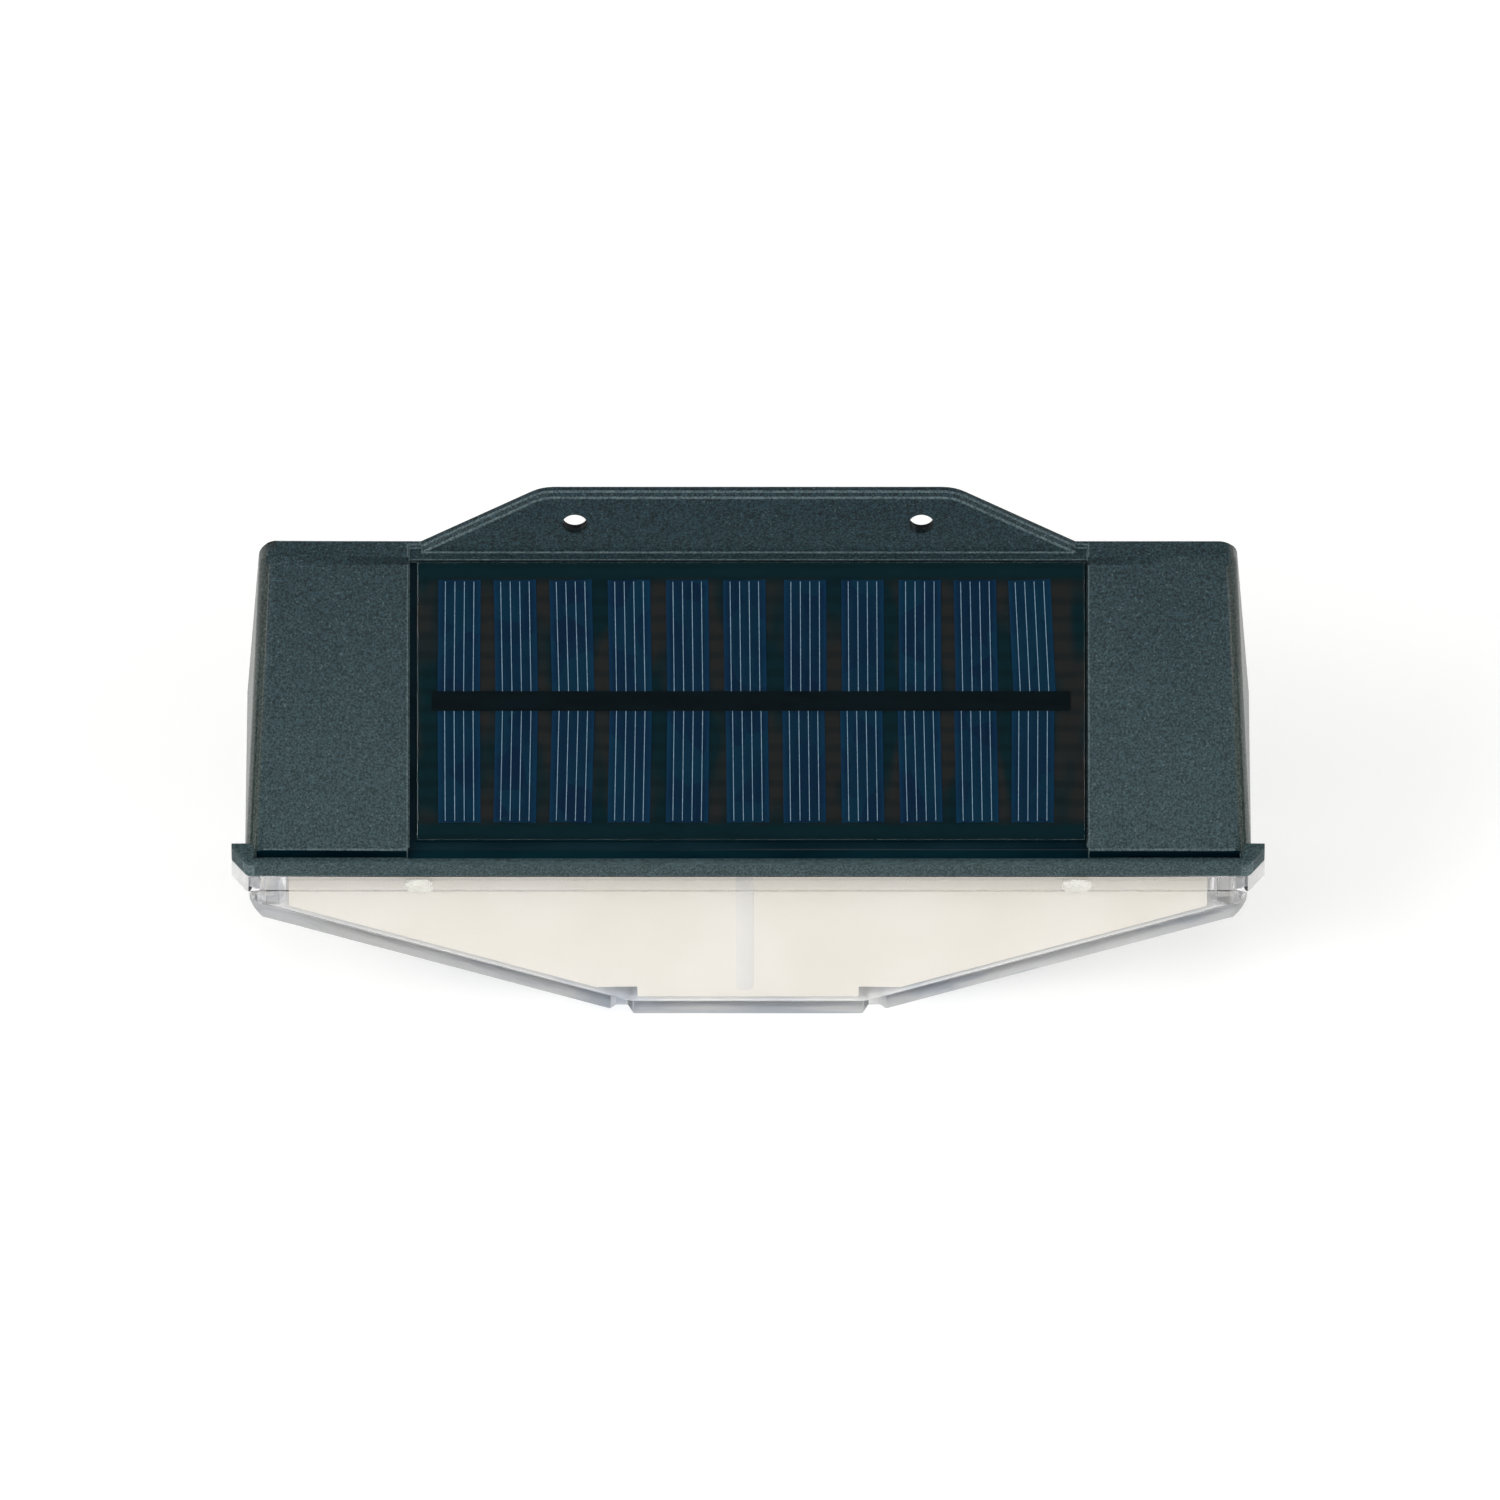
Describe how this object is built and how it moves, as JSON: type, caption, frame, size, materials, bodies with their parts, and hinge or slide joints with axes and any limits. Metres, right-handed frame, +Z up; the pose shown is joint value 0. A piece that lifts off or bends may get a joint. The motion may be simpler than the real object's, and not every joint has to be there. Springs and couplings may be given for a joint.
{
  "type": "fence light",
  "caption": "Solar fence light: black hood with sloped solar panel and screw tab above a clear tapering lens over a white reflector.",
  "frame": {"origin": "midway between the two screw holes, on the flat back that rests against the fence", "axes": "+X along the light to the right as seen from in front, +Y back into the fence, +Z up"},
  "size_m": [0.2176, 0.0584, 0.1016],
  "materials": {
    "hood_plastic": "black ABS with a fine moulded grain",
    "clear_plastic": "clear polystyrene, polished mould",
    "seal_rubber": "soft black silicone",
    "clear_glue": "clear cured glue",
    "white_plastic": "cream white ABS",
    "foam_tape": "black acrylic foam tape",
    "panel_backing": "black glass fibre board",
    "silicon": "dark blue polycrystalline silicon with print",
    "tinned_copper": "tinned strip",
    "black_tape": "black polyester tape",
    "clear_resin": "clear resin, glossy",
    "white_board": "white solder mask",
    "diode": "yellow phosphor in a white cup",
    "screw_steel": "zinc plated",
    "battery_sleeve": "blue shrink sleeve over a steel can",
    "cradle_plastic": "black ABS",
    "green_board": "green solder mask",
    "component_black": "moulded epoxy",
    "socket_nylon": "natural nylon",
    "capacitor_can": "bare can",
    "button_rubber": "soft black silicone",
    "lead_sleeve": "vinyl sleeve"
  },
  "bodies": {
    "light": {"hood_housing": "hood_plastic", "lens_cover": "clear_plastic", "lens_gasket": "seal_rubber", "glue_beads": "clear_glue", "reflector": "white_plastic", "panel_tape": "foam_tape", "panel_board": "panel_backing", "solar_cells": "silicon", "cell_ribbons": "tinned_copper", "bus_tape": "black_tape", "panel_resin": "clear_resin", "led_board": "white_board", "leds": "diode", "board_screws": "screw_steel", "control_screws": "screw_steel", "cradle_screws": "screw_steel", "battery_cell": "battery_sleeve", "battery_cradle": "cradle_plastic", "battery_contacts": "tinned_copper", "control_board": "green_board", "control_chip": "component_black", "battery_socket": "socket_nylon", "panel_socket": "socket_nylon", "charge_coil": "component_black", "capacitors": "capacitor_can", "resistors": "component_black", "button_gasket": "seal_rubber", "button_collar": "hood_plastic", "switch_body": "component_black", "panel_leads": "lead_sleeve", "led_leads": "lead_sleeve", "battery_leads": "lead_sleeve", "lead_grommet": "seal_rubber"},
    "button": {"button_cap": "button_rubber", "switch_stem": "socket_nylon"}
  },
  "joints": [
    {"name": "power_button_press", "type": "slide", "parent": "light", "child": "button", "axis": [0, -1, 0], "range_m": [0, 0.001], "stiffness_N_per_m": 1500}
  ]
}
